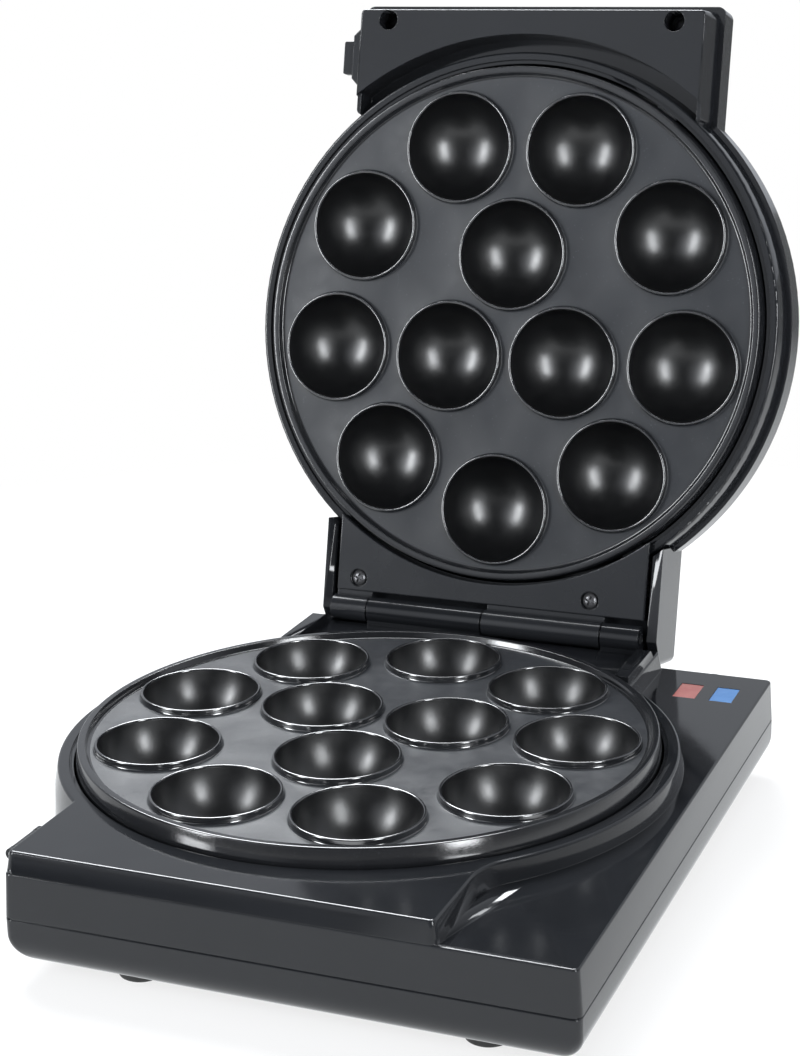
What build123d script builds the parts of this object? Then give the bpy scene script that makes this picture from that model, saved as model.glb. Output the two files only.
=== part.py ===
from build123d import *
import math
import os

# A table-top cake pop maker: a squarish base with a round plate of twelve half-ball cups, and a hinged
# lid that carries the mirror-image plate. It is modelled with the lid open. Lengths are in millimetres.
# Pieces are drawn about the upright axis of the lower plate, with Z up from the table, X right and Y
# back. They are saved with the origin on the table under the middle of the whole open object.

# ---- base, levels from the table up ----
foot_height = 4.5
lower_shell_height = 16.0
lower_tier_height = 14.6
upper_tier_height = 6.9
plate_stand = 5.5

# ---- cup pattern and plates ----
cup_radius = 20.0
cup_wall = 2.5
outer_cups = 9
inner_cups = 3
outer_cup_gap = 7.88
inner_cup_gap = 5.55
edge_land = 7.3
bead_height = 2.3
bead_width = 0.9
bead_slope = 0.2
bead_foot = 0.9
bead_round = 0.4
bead_foot_round = 0.6
plate_thickness = 3.0
lip_width = 2.6
lip_slope = 1.2
lip_draft = 0.8
skirt_depth = 9.0
skirt_wall = 2.4
plate_gap = 0.7
seat_step_width = 2.1
seat_step_depth = 0.9
seat_land = 5.0

# ---- heating element, clamps and reflector pan ----
element_depth_share = 0.7
element_tube = 3.25
element_bend = 9.0
element_drop_step = 6.0
element_drop_bend = 8.0
element_tail = 1.2
pin_radius = 1.2
pin_length = 2.6
element_fit = 0.1
rib_width = 8.0
clamp_step = 11.7
clamp_boss = 3.5
clamp_thickness = 1.4
clamp_width = 8.0
clamp_overhang = 5.8
clamp_fit = 0.15
pan_clearance = 1.0
pan_sheet = 0.8
pan_inset = 7.3
pan_wall_top = 12.5
pan_ear_x = 57.0
pan_ear_step = 5.0
pan_ear_radius = 4.5
pan_ear_root = 6.0
pan_hole = 1.2
plate_boss_step = 14.0
plate_boss = 4.0

# ---- base, plan at the level of the control strip ----
block_left = 69.9
block_right = 69.2
strip_step = 5.5
front_step = 12.7
lower_draft = 3.5
upper_draft = 10.5
base_corner = 3.0
step_fillet = 18.0
bottom_fillet = 10.0
top_edge = 1.0
strip_edge = 0.7
wall = 2.4

# ---- hinge ----
hinge_setback = 8.6
back_step = 4.2
hinge_drop = 0.85
open_angle = 103.4
barrel_radius = 5.0
barrel_gap = 0.6
barrel_short = 14.4
barrel_side = 0.2
pin_rod = 2.0
pin_fit = 0.06
pin_chamfer = 0.4
pocket_clearance = 0.8
pedestal_half = 4.0
ear_gap = 0.5
ear_width = 5.3
ear_length = 29.0
ear_slope_step = 8.0
ear_slope = 11.4
ear_rise = 3.7

# ---- lid, depths measured from the rim plane of the upper plate ----
rim_gap = 0.3
lid_face_depth = 0.6
lid_face_edge = 0.6
lid_drum_depth = 4.3
lid_parting_depth = 16.0
lid_depth = 31.6
lid_land = 4.0
lid_drum_draft = 5.5
lid_side_step = 0.3
lid_front_step = 2.2
lid_block_reach = 27.4
lid_block_draft = 7.4
lid_corner = 3.6
groove_width = 5.0
groove_wall = 2.4
groove_depth = 13.6
tail_depth = 3.0
tail_width = 3.2
cover_lip = 1.8
cover_back_fillet = 4.0
cover_corner = 3.0
cover_overlap = 20.0
cheek_step = 2.3
cheek_wall = 3.8
cheek_start = 70.0
lid_end_step = 10.9
lid_end_depth = 6.2
cheek_notch_step = 0.8
cheek_notch = 7.2
front_screw_side = 13.4
front_screw_step = 6.0
front_well = 3.75
front_well_wall = 1.4

# ---- hinge cover of the lid ----
cover_side_step = 5.5
cover_gap = 1.1
cover_edge_step = 6.8
cover_plate = 2.4
cover_boss = 2.5
cover_edge_round = 0.5
cover_rim = 1.6
cover_rim_inset = 1.0
cover_face = 0.6
cover_front = 60.0
recess_radius = 7.0
carrier_step = 8.0
carrier_thickness = 2.2
cover_screw_sides = (8.7, 21.3)
cover_screw_steps = (5.0, 5.4)
cover_screw_well = 0.5

# ---- clip latch on the left side ----
latch_setback = 17.9
latch_stand = 2.7
latch_axis_drop = 10.8
latch_pin = 1.0
latch_pin_fit = 0.05
lug_width = 12.0
lug_radius = 1.9
lug_root = 1.2
clip_eye = 2.0
clip_thickness = 2.2
clip_arm = 2.2
clip_window = 13.0
clip_bar = 2.6
clip_round = 2.0
clip_play = 0.25
tongue_width = 12.4
tongue_stand = 2.2
tongue_depth = 3.3
tongue_thickness = 3.5
tongue_round = 0.7
plate_of_tongue_width = 21.0
plate_of_tongue_stand = 0.7
plate_of_tongue_depth = 1.4
plate_of_tongue_height = 8.6
plate_of_tongue_bevel = 2.4

# ---- lamps, gland, feet, fasteners ----
lamp_size = (8.0, 13.8)
lamp_fit = 0.1
lamp_sides = {"red": 25.9, "blue": 12.6}
lamp_step = 20.2
lamp_sink = 0.15
lamp_flange = 1.2
lamp_flange_thickness = 1.2
led_radius = 2.5
led_height = 5.0
led_gap = 0.2
board_size = (34.0, 29.0)
board_thickness = 1.6
board_post_inset = 3.0
gland_side = 21.9
gland_rise = 6.4
gland_bore = 3.3
gland_neck = 5.0
gland_flange = 7.0
gland_flange_thickness = 2.0
gland_nut = 2.4
gland_nut_radius = 5.6
gland_seat = 0.1
foot_radius = 7.5
foot_round = 1.2
foot_stem = 3.6
foot_stem_fit = 0.1
foot_head = 4.6
foot_head_thickness = 1.6
foot_sides = (35.9, 31.9)
foot_step = 17.1
housing_screw_sides = (15.9, 11.9)
housing_screw_steps = {"left_front": 10.1, "right_front": 12.1, "right_back": 41.2, "left_back": 10.2}
screw_radius = 1.5
screw_head = 3.0
screw_head_thickness = 1.8
slot_length = 3.6
slot_width = 0.8
slot_depth = 0.8
screw_fit = 0.2
pilot_fit = 0.05
pilot_spare = 0.5
boss_radius = 4.0
boss_wide = 4.8
head_well = 3.4
ear_screw_reach = 3.6
housing_screw_reach = 8.0
plate_screw_reach = 7.5
clamp_screw_reach = 6.5
front_screw_reach = 8.5
cover_screw_reach = 9.0
board_screw_reach = 5.0

# ---- thermostat, fuse, terminal block, wires ----
stat_radius = 7.5
stat_height = 5.0
stat_flange = (26.0, 8.0, 1.0)
stat_blade = (6.3, 0.8, 3.0)
stat_blade_gap = 9.0
fuse_radius = 2.1
fuse_length = 14.0
fuse_lead = 0.5
fuse_place = (-14.0, -30.0)
block_size = (24.0, 12.0, 11.0)
block_side = 23.9
block_step = 55.2
block_round = 1.0
block_poles = 3
pole_screw = 1.8
pole_well = 2.0
pole_well_depth = 4.0
pole_screw_thickness = 2.7
pole_screw_sink = 1.2
pole_bore = 1.6
wire_radius = 1.1
wire_bend = 2.8
wire_lift = 0.1
live_run = (12.0, 10.0, 26.0)
live_corner = (34.0, 18.0)
heat_corner = (-14.0, 32.0)
neutral_run = (16.0, 9.0, 15.0)
neutral_corner = (16.0, 5.0)

# ---- how far a joined solid runs into its neighbour, a cutter runs past, and a free face stands off ----
bite = 0.1
past = 1.0
hair = 0.01
seam = 0.1

# ---- levels worked out from the sizes above ----
shell_bottom = foot_height
parting_z = shell_bottom + lower_shell_height
strip_z = parting_z + lower_tier_height
top_z = strip_z + upper_tier_height
rim_z = top_z + plate_stand
hinge_z = rim_z - hinge_drop
lid_z = rim_z + rim_gap
pan_top = cup_radius + cup_wall + pan_clearance
pan_bottom = pan_top + pan_sheet
floor_top = shell_bottom + wall
base_grow = lower_tier_height * math.tan(math.radians(lower_draft))
element_depth = cup_radius * element_depth_share

# ---- rings and circles, from the cups outwards ----
outer_cup_circle = (cup_radius + outer_cup_gap / 2) / math.sin(math.pi / outer_cups)
inner_cup_circle = (cup_radius + inner_cup_gap / 2) / math.sin(math.pi / inner_cups)
element_circle = (outer_cup_circle + inner_cup_circle) / 2
element_drop = outer_cup_circle + element_drop_step
element_ends = (90 + 180 / outer_cups, 90 - 180 / outer_cups)
clamp_circle = inner_cup_circle + clamp_step
clamp_reach = element_circle + clamp_overhang
plate_boss_circle = outer_cup_circle + plate_boss_step
plate_radius = outer_cup_circle + cup_radius + edge_land
pan_radius = plate_radius - pan_inset
pan_ear_y = pan_radius + pan_ear_step
seat_step_radius = plate_radius + seat_step_width
drum_radius = seat_step_radius + seat_land
lid_drum_radius = seat_step_radius + lid_land
lid_arc = lid_drum_radius + groove_width

# ---- places along and across the object ----
hinge_y = drum_radius + hinge_setback
base_back = hinge_y + back_step
base_front = drum_radius + front_step
strip_right = drum_radius + strip_step
lid_block_half = block_left - lid_side_step
lid_block_front = base_front + lid_front_step
lid_block_back = lid_drum_radius - lid_block_reach
tail_inner = lid_block_half - tail_width
lid_end = hinge_y + lid_end_step
cheek_outer = lid_block_half - cheek_step
cheek_notch_start = hinge_y + cheek_notch_step
cheek_notch_end = cheek_notch_start + cheek_notch
cover_half = cheek_outer - cover_side_step
cover_arc = plate_radius + cover_gap
cover_edge = hinge_y - cover_edge_step
carrier_back = hinge_y + carrier_step
cover_screws = [(-cover_half + cover_screw_sides[0], cover_edge - cover_screw_steps[0]),
                (cover_half - cover_screw_sides[1], cover_edge - cover_screw_steps[1])]
barrel_end = cover_half - barrel_side
ear_inner = cover_half + ear_gap
ear_outer = ear_inner + ear_width
ear_slope_start = hinge_y - ear_slope_step
ear_slope_end = ear_slope_start + ear_slope
ear_front = ear_slope_start - ear_length
front_screw_x = lid_block_half - front_screw_side
front_screw_y = lid_block_front - front_screw_step
latch_y = -base_front + latch_setback
latch_axis_x = -block_left - latch_stand
tongue_reach = -latch_axis_x + tongue_stand
plate_of_tongue_reach = lid_block_half + plate_of_tongue_stand
lamp_centres = {colour: (strip_right - side, base_back - lamp_step)
                for colour, side in lamp_sides.items()}
gland_x = strip_right - gland_side
foot_places = [(x, sy * (base_front - foot_step)) for sy in (-1, 1)
               for x in (-block_left + foot_sides[0], strip_right - foot_sides[1])]
housing_left = -block_left + housing_screw_sides[0]
housing_right = strip_right - housing_screw_sides[1]
housing_screws = [(housing_left, -base_front + housing_screw_steps["left_front"]),
                  (housing_right, -base_front + housing_screw_steps["right_front"]),
                  (housing_right, base_back - housing_screw_steps["right_back"]),
                  (housing_left, base_back - housing_screw_steps["left_back"])]
block_place = (strip_right - block_side, base_back - block_step)
hinge_axis = Axis((0, hinge_y, hinge_z), (1, 0, 0))


# ---- small makers ----
def upright(radius, z0, z1, x=0.0, y=0.0):
    return Pos(x, y, (z0 + z1) / 2) * Cylinder(radius, z1 - z0)


def along_x(radius, x0, x1, y, z):
    return Pos((x0 + x1) / 2, y, z) * Rot(0, 90, 0) * Cylinder(radius, x1 - x0)


def along_y(radius, y0, y1, x, z):
    return Pos(x, (y0 + y1) / 2, z) * Rot(90, 0, 0) * Cylinder(radius, y1 - y0)


def block(x0, x1, y0, y1, z0, z1):
    return Pos((x0 + x1) / 2, (y0 + y1) / 2, (z0 + z1) / 2) * Box(x1 - x0, y1 - y0, z1 - z0)


def oblong(x0, x1, y0, y1, corner):
    plain = Pos((x0 + x1) / 2, (y0 + y1) / 2) * Rectangle(x1 - x0, y1 - y0)
    return fillet(plain.vertices(), corner) if corner > 0 else plain


def rise(plan, z, height, draft=0.0):
    return extrude(Pos(0, 0, z) * plan, height, dir=(0, 0, 1), taper=draft)


def polar(radius, degrees):
    return radius * math.cos(math.radians(degrees)), radius * math.sin(math.radians(degrees))


def edges_at(solid, z):
    return solid.edges().filter_by_position(Axis.Z, z - 0.01, z + 0.01)


def side_profile(points, x0, x1):
    outline = make_face(Polyline([(x0, y, z) for y, z in points], close=True))
    return extrude(outline, x1 - x0, dir=(1, 0, 0))


def joined(pieces):
    whole = pieces[0]
    for piece in pieces[1:]:
        whole = whole + piece
    return whole


def screw(x, y, head_z, tip_z, up=True):
    """A pan-head screw on a vertical axis with a crossed slot; its head lies below its shank if up."""
    sense = 1 if up else -1
    base = head_z - sense * screw_head_thickness
    head = upright(screw_head, min(base, head_z), max(base, head_z), x, y)
    shank = upright(screw_radius, min(head_z, tip_z), max(head_z, tip_z), x, y)
    slot = Box(slot_length, slot_width, 2 * slot_depth) + Box(slot_width, slot_length, 2 * slot_depth)
    return head + shank - Pos(x, y, base) * slot


def save_all(shapes):
    """Every piece to its own file, moved so that the origin lies under the middle of them all."""
    os.makedirs("parts", exist_ok=True)
    boxes = [shape.bounding_box() for shape in shapes.values()]
    middle_x = (min(box.min.X for box in boxes) + max(box.max.X for box in boxes)) / 2
    middle_y = (min(box.min.Y for box in boxes) + max(box.max.Y for box in boxes)) / 2
    for name, shape in shapes.items():
        export_step(Pos(-middle_x, -middle_y, 0) * shape, "parts/" + name + ".step")


# ---- base housings ----
def base_form(inset):
    """The outer form of the upper housing, drawn in by inset at its walls and its top."""
    low = oblong(-block_left - base_grow + inset, strip_right + base_grow - inset,
                 -base_front - base_grow + inset, base_back + base_grow - inset, base_corner)
    low_height = lower_tier_height - inset
    tier = rise(low, parting_z, low_height, lower_draft)
    if inset == 0:
        tier = fillet(edges_at(tier, strip_z), strip_edge)
    drum = rise(Circle(drum_radius + base_grow - inset), parting_z, low_height, lower_draft)
    high = oblong(-block_left + inset, block_right - inset, -base_front + inset, base_back - inset,
                  base_corner) + Circle(drum_radius - inset)
    side = block_right - inset
    meets = Vector(side, -math.sqrt((drum_radius - inset) ** 2 - side ** 2), 0)
    corner = high.vertices().sort_by_distance(meets)[:1]
    high = fillet(corner, step_fillet)
    platform = rise(high, strip_z - inset, upper_tier_height, upper_draft)
    if inset == 0:
        platform = fillet(edges_at(platform, top_z), top_edge)
    return tier + drum + platform


def base_ear(side):
    """The low wall beside the hinge, level on top and sloping down to the back edge."""
    top = top_z + ear_rise
    outline = [(ear_front, top_z - wall), (ear_front, top), (ear_slope_start, top),
               (ear_slope_end, strip_z), (ear_slope_start, strip_z)]
    x0 = ear_inner if side > 0 else -ear_outer
    return side_profile(outline, x0, x0 + ear_outer - ear_inner)


def barrel_spans(owner):
    """The stretches along X of the knuckles that belong to the base or to the lid."""
    inner = barrel_end - barrel_short - barrel_gap
    left = [(-barrel_end, -barrel_end + barrel_short), (-inner, -barrel_gap / 2)]
    right = [(barrel_gap / 2, inner), (barrel_end - barrel_short, barrel_end)]
    return [left[1], right[1]] if owner == "base" else [left[0], right[0]]


def base_upper_housing():
    body = base_form(0) - base_form(wall)
    for x, y in housing_screws:
        roof = top_z if x < block_right else strip_z
        body = body + upright(boss_radius, parting_z, roof - wall / 2, x, y)
    for side in (-1, 1):
        body = body + base_ear(side)
    for x0, x1 in barrel_spans("lid"):
        body = body - along_x(barrel_radius + pocket_clearance, x0 - barrel_gap, x1 + barrel_gap,
                              hinge_y, hinge_z)
    for x0, x1 in barrel_spans("base"):
        pedestal = block(x0, x1, hinge_y - pedestal_half, hinge_y + pedestal_half - wall / 2,
                         top_z - wall / 2, hinge_z)
        body = body + pedestal + along_x(barrel_radius, x0, x1, hinge_y, hinge_z)
    body = body - along_x(pin_rod + pin_fit, -barrel_end - past, barrel_end + past, hinge_y, hinge_z)
    body = body - upright(plate_radius + plate_gap, strip_z, rim_z)
    body = body - upright(seat_step_radius, top_z - seat_step_depth, rim_z)
    for x, y in lamp_centres.values():
        body = body - block(x - lamp_size[0] / 2 - lamp_fit, x + lamp_size[0] / 2 + lamp_fit,
                            y - lamp_size[1] / 2 - lamp_fit, y + lamp_size[1] / 2 + lamp_fit,
                            strip_z - 2 * wall, strip_z + past)
    body = body + latch_lug()
    body = body - along_y(gland_neck + screw_fit, base_back - 2 * wall, base_back + 3 * wall,
                          gland_x, parting_z + gland_rise)
    for x, y in board_posts():
        body = body + upright(board_post_inset, board_z() + board_thickness, strip_z - wall / 2, x, y)
        body = body - upright(screw_radius + pilot_fit, board_z(), strip_z - wall, x, y)
    for x, y in housing_screws:
        body = body - upright(screw_radius + pilot_fit, parting_z - past,
                              parting_z + housing_screw_reach, x, y)
    return body


def latch_lug():
    """The knuckle on the left wall that the clip swings on."""
    z = rim_z - latch_axis_drop
    y0 = latch_y - lug_width / 2
    y1 = latch_y + lug_width / 2
    wall_x = -block_left + lug_root
    arm = block(latch_axis_x, wall_x, y0, y1, z - lug_radius, z + lug_radius)
    lug = arm + along_y(lug_radius, y0, y1, latch_axis_x, z)
    return lug - along_y(latch_pin + latch_pin_fit, y0 - past, y1 + past, latch_axis_x, z)


def shell_form(inset):
    """The outer form of the lower shell, drawn in by inset at its walls and its floor."""
    bottom = shell_bottom + inset
    height = parting_z - bottom
    plan = oblong(-block_left - base_grow + inset, strip_right + base_grow - inset,
                  -base_front - base_grow + inset, base_back + base_grow - inset, base_corner)
    tray = rise(plan, bottom, height)
    tray = fillet(edges_at(tray, bottom), bottom_fillet - inset)
    drum = upright(drum_radius + base_grow - inset, bottom, parting_z)
    drum = fillet(edges_at(drum, bottom), bottom_fillet - inset)
    return tray + drum


def base_lower_shell():
    body = shell_form(0) - shell_form(wall)
    for x, y in housing_screws:
        body = body + upright(boss_wide, floor_top - bite, parting_z, x, y)
    for x, y in pan_ears():
        body = body + upright(boss_radius, floor_top - bite, rim_z - pan_bottom, x, y)
        body = body - upright(screw_radius + pilot_fit, rim_z - pan_bottom - ear_screw_reach - past,
                              rim_z, x, y)
    for x, y in housing_screws:
        body = body - upright(head_well, shell_bottom - past, floor_top + wall, x, y)
        body = body - upright(screw_radius + screw_fit, shell_bottom, rim_z, x, y)
    for x, y in foot_places:
        body = body - upright(foot_stem + foot_stem_fit, shell_bottom - past, floor_top + past, x, y)
    return body


def rubber_feet():
    feet = []
    for x, y in foot_places:
        pad = upright(foot_radius, 0, foot_height, x, y)
        pad = fillet(edges_at(pad, 0), foot_round)
        stem = upright(foot_stem, foot_height, floor_top, x, y)
        head = upright(foot_head, floor_top, floor_top + foot_head_thickness, x, y)
        feet.append(pad + stem + head)
    return Compound(feet)


def housing_screw_set():
    head_z = floor_top + wall
    return Compound([screw(x, y, head_z, parting_z + housing_screw_reach - pilot_spare)
                              for x, y in housing_screws])


# ---- plates ----
def cup_places():
    outer = [polar(outer_cup_circle, 90 + k * 360 / outer_cups) for k in range(outer_cups)]
    inner = [polar(inner_cup_circle, -90 + k * 360 / inner_cups) for k in range(inner_cups)]
    return outer + inner


def plate_boss_places():
    return [polar(plate_boss_circle, 30 + 120 * k) for k in range(3)]


def clamp_angles():
    return [90 + 120 * k for k in range(3)]


def turned(points, rounded):
    """A body of revolution about Z; rounded maps an outline point's number to its corner radius."""
    outline = make_face(Polyline([(r, 0, z) for r, z in points], close=True))
    for number, radius in rounded.items():
        r, z = points[number]
        corner = [v for v in outline.vertices() if abs(v.X - r) < 1e-4 and abs(v.Z - z) < 1e-4]
        outline = fillet(corner, radius)
    return revolve(outline, Axis.Z)


def plate_disc():
    """The flat face, the raised outer lip and the skirt."""
    under = -bead_height - plate_thickness
    lip_out = plate_radius - lip_draft
    lip_in = lip_out - lip_width + bead_slope
    points = [(0, -bead_height), (lip_in - lip_slope, -bead_height), (lip_in, 0), (lip_out, 0),
              (plate_radius, -plate_stand), (plate_radius, -skirt_depth),
              (plate_radius - skirt_wall, -skirt_depth), (plate_radius - skirt_wall, under),
              (0, under)]
    return turned(points, {1: lip_slope, 2: bead_round, 3: lip_draft, 7: top_edge})


def cup_shell():
    """One cup's raised rim and the half ball under it, not yet hollow."""
    top = cup_radius + bead_width
    foot = top + bead_foot
    deep = -bead_height - bead_height / 2
    rim = [(0, 0), (top, 0), (top + bead_slope, -bead_height + bead_foot - bead_slope),
           (foot, -bead_height), (foot, deep), (0, deep)]
    collar = turned(rim, {1: bead_round, 2: bead_foot_round})
    ball = Sphere(cup_radius + cup_wall)
    reach = 2 * cup_radius
    return collar + (ball & block(-reach, reach, -reach, reach, -reach, -bead_height - bite))


def element_path(depth_end):
    """The tube's centre line: round between the cups, out through two gaps, and down."""
    ring = element_circle
    z = -element_depth
    swing = math.degrees(math.asin(element_bend / (ring + element_bend)))
    first, last = element_ends
    start = first + swing
    turn = 360 - (first - last) - 2 * swing
    edges = [CenterArc((0, 0, z), ring, start, turn)]
    out = math.sqrt((ring + element_bend) ** 2 - element_bend ** 2)
    for angle, sense in ((first, 1), (last, -1)):
        cx, cy = polar(ring + element_bend, angle + sense * swing)
        begin = angle + sense * swing + 180
        edges.append(CenterArc((cx, cy, z), element_bend, begin, sense * (90 - swing)))
        a = Vector(*polar(out, angle), z)
        b = Vector(*polar(element_drop - element_drop_bend, angle), z)
        c = Vector(*polar(element_drop, angle), z)
        d = Vector(*polar(element_drop, angle), z - element_drop_bend)
        edges.append(Line(a, b))
        edges.append(TangentArc(b, d, tangent=(c - b)))
        edges.append(Line(d, Vector(d.X, d.Y, -depth_end)))
    return Wire(edges)


def element_solid(radius, depth_end):
    path = element_path(depth_end)
    start = path @ 0
    along = path % 0
    return sweep(Plane(origin=start, z_dir=along) * Circle(radius), path=path)


def plate():
    """The cooking plate with its cups facing up and its rims in the plane z = 0."""
    body = plate_disc()
    under = -bead_height - plate_thickness
    rib = upright(element_circle + rib_width / 2, -element_depth, under + bite)
    body = body + (rib - upright(element_circle - rib_width / 2, -element_depth - past, under + past))
    for x, y in plate_boss_places():
        body = body + upright(plate_boss, -pan_top, under + bite, x, y)
    for angle in clamp_angles():
        x, y = polar(clamp_circle, angle)
        body = body + upright(clamp_boss, clamp_top(), under + bite, x, y)
    shell = cup_shell()
    for x, y in cup_places():
        body = body + Pos(x, y, 0) * shell
    for x, y in cup_places():
        body = body - Pos(x, y, 0) * Sphere(cup_radius)
    body = body - element_solid(element_tube + element_fit, pan_top)
    for x, y in plate_boss_places():
        body = body - upright(screw_radius + pilot_fit, -pan_top - past,
                              -pan_top + plate_screw_reach + pilot_spare, x, y)
    for angle in clamp_angles():
        x, y = polar(clamp_circle, angle)
        body = body - upright(screw_radius + pilot_fit, clamp_top() - past,
                              clamp_top() + clamp_screw_reach + pilot_spare, x, y)
    return body


def heating_element():
    tube = element_solid(element_tube, pan_bottom + element_tail)
    pins = []
    for angle in element_ends:
        x, y = polar(element_drop, angle)
        z = -pan_bottom - element_tail
        pins.append(upright(pin_radius, z - pin_length, z, x, y))
    return joined([tube] + pins)


def clamp_top():
    return -element_depth - element_tube - clamp_fit


def heater_clamps():
    straps = []
    z = clamp_top()
    for angle in clamp_angles():
        inner = clamp_circle - clamp_width / 2
        strap = block(inner, clamp_reach, -clamp_width / 2, clamp_width / 2, z - clamp_thickness, z)
        strap = strap - upright(screw_radius + screw_fit, z - clamp_thickness - past, z + past,
                                clamp_circle, 0)
        straps.append(Rot(0, 0, angle) * strap)
    return Compound(straps)


def clamp_screws():
    z = clamp_top() - clamp_thickness
    return Compound([screw(*polar(clamp_circle, a), z,
                                    z + clamp_thickness + clamp_screw_reach)
                              for a in clamp_angles()])


def pan_ears():
    return [(sx * pan_ear_x, sy * pan_ear_y) for sx in (-1, 1) for sy in (-1, 1)]


def reflector_pan():
    """A pressed tray that closes the plate from behind and carries it on three screws."""
    disc = upright(pan_radius + pan_sheet, -pan_bottom, -pan_top)
    side = upright(pan_radius + pan_sheet, -pan_bottom, -pan_wall_top)
    side = side - upright(pan_radius, -pan_top, 0)
    body = disc + side
    for x, y in pan_ears():
        angle = math.degrees(math.atan2(y, x))
        reach = math.hypot(x, y)
        arm = block(pan_radius - pan_ear_root, reach, -pan_ear_radius, pan_ear_radius, -pan_bottom, -pan_top)
        arm = arm + upright(pan_ear_radius, -pan_bottom, -pan_top, reach, 0)
        arm = arm - upright(screw_radius + screw_fit, -pan_bottom - past, -pan_top + past, reach, 0)
        body = body + Rot(0, 0, angle) * (arm - upright(pan_radius, -pan_top, 0))
    for x, y in plate_boss_places():
        body = body - upright(screw_radius + screw_fit, -pan_bottom - past, -pan_top + past, x, y)
    for angle in element_ends:
        x, y = polar(element_drop, angle)
        body = body - upright(element_tube + pan_hole, -pan_bottom - past, -pan_top + past, x, y)
    return body


def plate_screws():
    """Three screws from behind the pan into the plate, in the frame of the plate."""
    z = -pan_bottom
    return Compound([screw(x, y, z, -pan_top + plate_screw_reach) for x, y in plate_boss_places()])


def ear_screws():
    """Four screws through the pan's ears, heads towards the plate, in the frame of the plate."""
    z = -pan_top
    return Compound([screw(x, y, z, -pan_bottom - ear_screw_reach, up=False)
                              for x, y in pan_ears()])


def on_base(shape):
    return Pos(0, 0, rim_z) * shape


def on_lid(shape):
    """Turn a closed lid piece, drawn upwards from the rim plane, to where it is with the lid open."""
    return (Pos(0, 0, lid_z) * shape).rotate(hinge_axis, -open_angle)


def flipped(shape):
    return mirror(shape, about=Plane.XY)


# ---- lid housings, drawn closed: z rises from the rim plane of the upper plate ----
def lid_block_form(inset):
    """The front block of the inner housing, widest at the parting line and narrowest at its face."""
    plan = oblong(-lid_block_half + inset, lid_block_half - inset, -lid_block_front + inset,
                  -lid_block_back, lid_corner)
    height = lid_parting_depth - lid_face_depth - inset
    body = extrude(Pos(0, 0, lid_parting_depth) * plan, height, dir=(0, 0, -1), taper=lid_block_draft)
    if inset == 0:
        body = fillet(edges_at(body, lid_face_depth), lid_face_edge)
    return body


def lid_inner_housing():
    draft_in = (lid_parting_depth - lid_drum_depth) * math.tan(math.radians(lid_drum_draft))
    drum = Pos(0, 0, (lid_parting_depth + lid_drum_depth) / 2) * Cone(
        lid_drum_radius - draft_in, lid_drum_radius, lid_parting_depth - lid_drum_depth)
    drum = fillet(edges_at(drum, lid_drum_depth), top_edge)
    solid = lid_block_form(0)
    groove = upright(lid_arc, -past, groove_depth)
    front = solid - groove
    inner_face = block(-tail_inner, tail_inner, -2 * lid_block_front, 0, -past,
                       lid_parting_depth + past)
    tails = (solid - inner_face) & block(-lid_arc, lid_arc, -lid_arc, 0, tail_depth, lid_parting_depth)
    body = front + drum + tails
    hollow = lid_block_form(wall) - upright(lid_arc + groove_wall, -past, lid_parting_depth + past)
    body = body - hollow
    body = body - Pos(0, 0, (lid_parting_depth + lid_drum_depth + wall) / 2) * Cone(
        lid_drum_radius - draft_in - wall, lid_drum_radius - wall,
        lid_parting_depth - lid_drum_depth - wall + hair)
    body = body - upright(plate_radius + plate_gap, 0, lid_parting_depth)
    body = body - upright(seat_step_radius, 0, lid_drum_depth + seat_step_depth)
    for sx in (-1, 1):
        x, y = sx * front_screw_x, -front_screw_y
        well = upright(front_well + front_well_wall, lid_face_depth, lid_parting_depth, x, y)
        body = body + (well & lid_block_form(0))
    for sx in (-1, 1):
        x, y = sx * front_screw_x, -front_screw_y
        body = body - upright(front_well, -past, lid_parting_depth - wall, x, y)
        body = body - upright(screw_radius + screw_fit, 0, lid_parting_depth + past, x, y)
    return body + latch_tongue()


def latch_tongue():
    """The bevelled plate on the lid's left side and the square tongue that the clip hooks over."""
    half = plate_of_tongue_width / 2
    bevel = plate_of_tongue_bevel
    root = -lid_block_half + wall
    outline = Polyline([(root, latch_y - half), (-plate_of_tongue_reach + bevel, latch_y - half),
                        (-plate_of_tongue_reach, latch_y - half + bevel),
                        (-plate_of_tongue_reach, latch_y + half - bevel),
                        (-plate_of_tongue_reach + bevel, latch_y + half), (root, latch_y + half)],
                       close=True)
    base = extrude(Pos(0, 0, plate_of_tongue_depth) * make_face(outline), plate_of_tongue_height,
                   dir=(0, 0, 1))
    nose = block(-tongue_reach, root, latch_y - tongue_width / 2, latch_y + tongue_width / 2,
                 tongue_depth, tongue_depth + tongue_thickness)
    nose = fillet(nose.edges().filter_by(Axis.Z).sort_by(Axis.X)[:2], tongue_round)
    return base + nose


def cover_form(inset):
    """The outer form of the lid's back cover, drawn in by inset at its walls and its back."""
    top = lid_depth - inset
    back = cover_back_fillet - inset
    low = lid_parting_depth
    radius = lid_drum_radius + cover_lip - inset
    drum = upright(radius, low, top)
    drum = fillet(edges_at(drum, top), back)
    half = lid_block_half + cover_lip - inset
    front = rise(oblong(-half, half, -lid_block_front - cover_lip + inset, -cover_overlap,
                        cover_corner), low, top - low)
    front = fillet(edges_at(front, top), back)
    inner = cheek_wall if inset else 0
    cheek = rise(oblong(-cheek_outer + inner, cheek_outer - inner, cover_overlap, lid_end - inset,
                        cover_corner - inset / 2), 0, top)
    cheek = fillet(edges_at(cheek, top), back)
    return drum + front + cheek


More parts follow.
